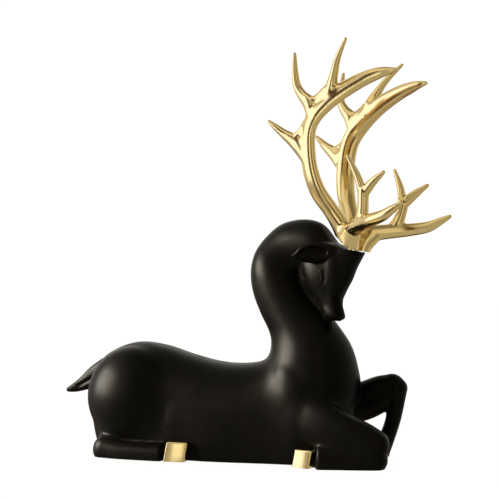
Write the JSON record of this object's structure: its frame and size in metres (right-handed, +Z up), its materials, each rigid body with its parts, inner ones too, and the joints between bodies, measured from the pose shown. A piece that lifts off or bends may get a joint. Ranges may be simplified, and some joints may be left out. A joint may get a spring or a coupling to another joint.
{
  "type": "reindeer figurine",
  "caption": "Lying reindeer figurine with a bowed, turned head, folded legs and tall forked antlers on pegs, in black resin with gold antlers and hooves.",
  "frame": {"origin": "middle of the bounding box in plan, on the flat underside", "axes": "+X the way the deer's body faces, +Y to the deer's left, +Z up over the antlers"},
  "size_m": [0.2944, 0.1098, 0.2971],
  "materials": {
    "black_resin": "satin black cast resin",
    "gold": "satin gold"
  },
  "bodies": {
    "root": {"deer_body": "black_resin", "antler_right": "gold", "antler_left": "gold"}
  },
  "joints": []
}
